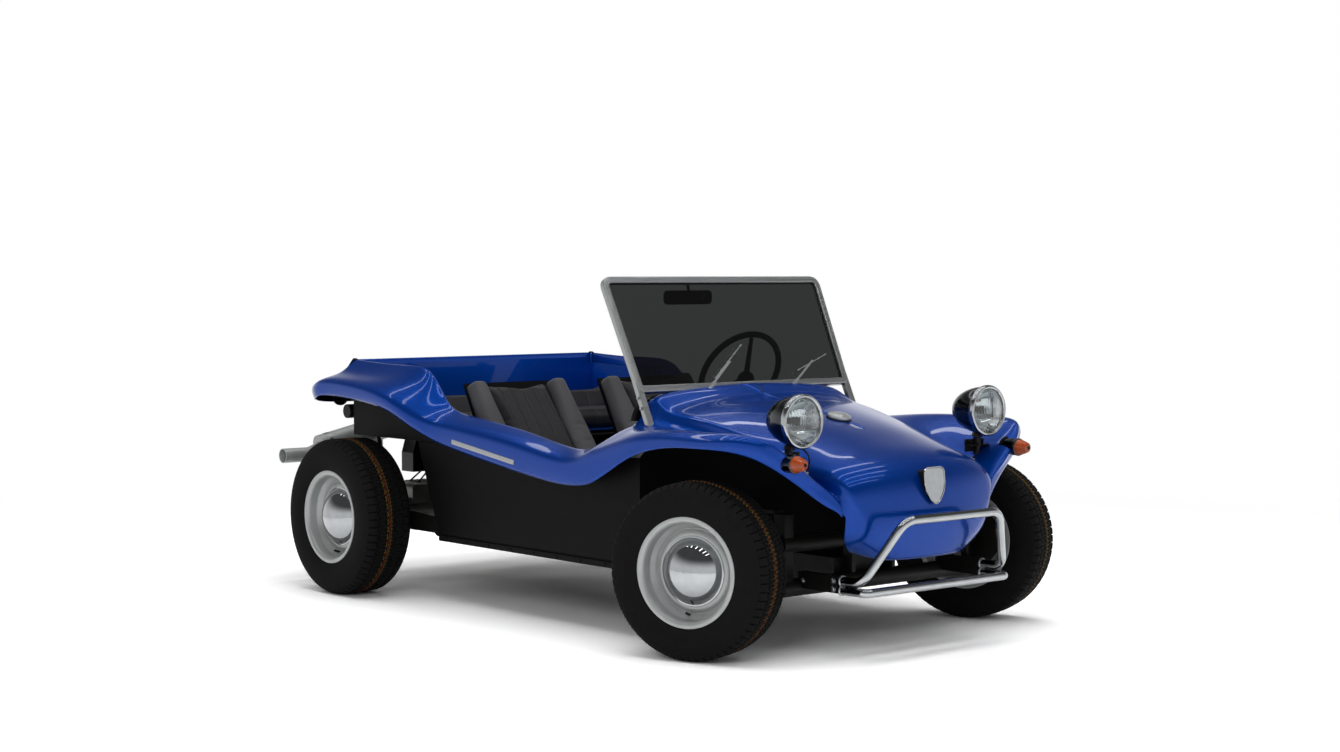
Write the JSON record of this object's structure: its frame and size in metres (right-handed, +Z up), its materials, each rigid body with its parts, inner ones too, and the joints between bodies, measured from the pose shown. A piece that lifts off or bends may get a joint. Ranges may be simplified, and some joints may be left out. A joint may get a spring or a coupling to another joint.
{
  "type": "dune buggy",
  "caption": "Open dune buggy: glass fibre body with flared wings, fixed windscreen, tubular bumper, rear engine; wheels spin and the front ones steer.",
  "frame": {"origin": "on the ground, under the middle of the overall length and width", "axes": "+Z up, the front faces -Y, the driver's left side is +X"},
  "size_m": [1.7348, 3.082, 1.2632],
  "materials": {
    "amber_lens": "amber moulded lens",
    "black_body": "satin black glass fibre and chassis paint",
    "blue_paint": "metallic blue paint on glass fibre, glossy",
    "bright_steel": "machined steel",
    "chassis_black": "satin black chassis paint",
    "chrome": "polished chrome plate",
    "cooling_black": "semi-gloss black sheet",
    "engine_alloy": "dull cast alloy",
    "exhaust_grey": "light grey heat-proof paint",
    "lamp_glass": "clear moulded glass",
    "mirror_black": "satin black",
    "red_lens": "red moulded lens",
    "screen_alloy": "satin anodised",
    "screen_glass": "clear laminated glass",
    "seat_trim": "charcoal leathercloth with grey edges",
    "steering_black": "satin black rim on a black hub",
    "tyre_rubber": "black rubber",
    "wheel_paint": "light grey enamel on pressed steel"
  },
  "bodies": {
    "chassis": {"floor_pan": "chassis_black", "sills": "chassis_black", "front_beam": "chassis_black", "trailing_arms": "chassis_black", "shock_absorbers": "chassis_black", "rear_torsion_housing": "chassis_black", "transaxle": "engine_alloy", "engine": "engine_alloy", "engine_cooling": "cooling_black", "exhaust": "exhaust_grey", "rear_cross_tube": "chassis_black", "body_bonnet": "blue_paint", "body_wing_left": "blue_paint", "body_wing_right": "blue_paint", "body_rail_left": "blue_paint", "body_rail_right": "blue_paint", "body_tail": "blue_paint", "tub": "black_body", "load_well": "blue_paint", "dashboard": "black_body", "windscreen_frame": "screen_alloy", "windscreen_glass": "screen_glass", "mirror": "mirror_black", "wipers": "bright_steel", "headlamp_shells": "chrome", "headlamp_lenses": "lamp_glass", "indicator_pods": "chrome", "indicator_lenses": "amber_lens", "tail_lamps": "red_lens", "filler_cap": "chrome", "front_bumper": "chrome", "seat_left": "seat_trim", "seat_right": "seat_trim", "rear_bench": "seat_trim", "driver_controls": "chassis_black", "steering_column": "chassis_black"},
    "steering_wheel": {"steering_wheel": "steering_black"},
    "knuckle_left": {"knuckle_left": "chassis_black"},
    "knuckle_right": {"knuckle_right": "chassis_black"},
    "drop_arm": {"drop_arm": "chassis_black"},
    "track_rod": {"track_rod": "chassis_black"},
    "wheel_fr": {"wheel_fr": "wheel_paint", "tyre_fr": "tyre_rubber", "hub_cap_fr": "chrome"},
    "wheel_fl": {"wheel_fl": "wheel_paint", "tyre_fl": "tyre_rubber", "hub_cap_fl": "chrome"},
    "wheel_rr": {"wheel_rr": "wheel_paint", "tyre_rr": "tyre_rubber", "hub_cap_rr": "chrome"},
    "wheel_rl": {"wheel_rl": "wheel_paint", "tyre_rl": "tyre_rubber", "hub_cap_rl": "chrome"}
  },
  "joints": [
    {"name": "steering", "type": "hinge", "parent": "chassis", "child": "steering_wheel", "pos_m": [0.32, -0.121, 0.88], "axis": [0.1087, 0.8816, 0.4593], "range_deg": [-686, 154]},
    {"name": "knuckle_left_turn", "type": "hinge", "parent": "chassis", "child": "knuckle_left", "pos_m": [0.642, -1.011, 0.296], "axis": [0, 0, 1], "range_deg": [-49.1, 11.1]},
    {"name": "knuckle_right_turn", "type": "hinge", "parent": "chassis", "child": "knuckle_right", "pos_m": [-0.642, -1.011, 0.296], "axis": [0, 0, 1], "range_deg": [-49.1, 11.1]},
    {"name": "drop_arm_turn", "type": "hinge", "parent": "chassis", "child": "drop_arm", "pos_m": [0.21, -1.011, 0.375], "axis": [0, 0, 1], "range_deg": [-49.1, 11.1]},
    {"name": "track_rod_swing", "type": "hinge", "parent": "knuckle_left", "child": "track_rod", "pos_m": [0.6114, -0.92212, 0.351], "axis": [0, 0, 1], "range_deg": [-11.1, 49.1]},
    {"name": "wheel_fr_spin", "type": "hinge", "parent": "knuckle_right", "child": "wheel_fr", "pos_m": [-0.77437, -1.05658, 0.296], "axis": [0.9455, 0.3256, 0], "continuous": true},
    {"name": "wheel_fl_spin", "type": "hinge", "parent": "knuckle_left", "child": "wheel_fl", "pos_m": [0.77437, -0.96542, 0.296], "axis": [0.9455, 0.3256, 0], "continuous": true},
    {"name": "wheel_rr_spin", "type": "hinge", "parent": "chassis", "child": "wheel_rr", "pos_m": [-0.839, 1.021, 0.309], "axis": [1, 0, 0], "continuous": true},
    {"name": "wheel_rl_spin", "type": "hinge", "parent": "chassis", "child": "wheel_rl", "pos_m": [0.839, 1.021, 0.309], "axis": [1, 0, 0], "continuous": true}
  ],
  "couplings": [
    {"joint": "knuckle_left_turn", "follows": "steering", "ratio": 0.071429},
    {"joint": "knuckle_right_turn", "follows": "steering", "ratio": 0.071429},
    {"joint": "drop_arm_turn", "follows": "steering", "ratio": 0.071429},
    {"joint": "track_rod_swing", "follows": "steering", "ratio": -0.071429}
  ]
}
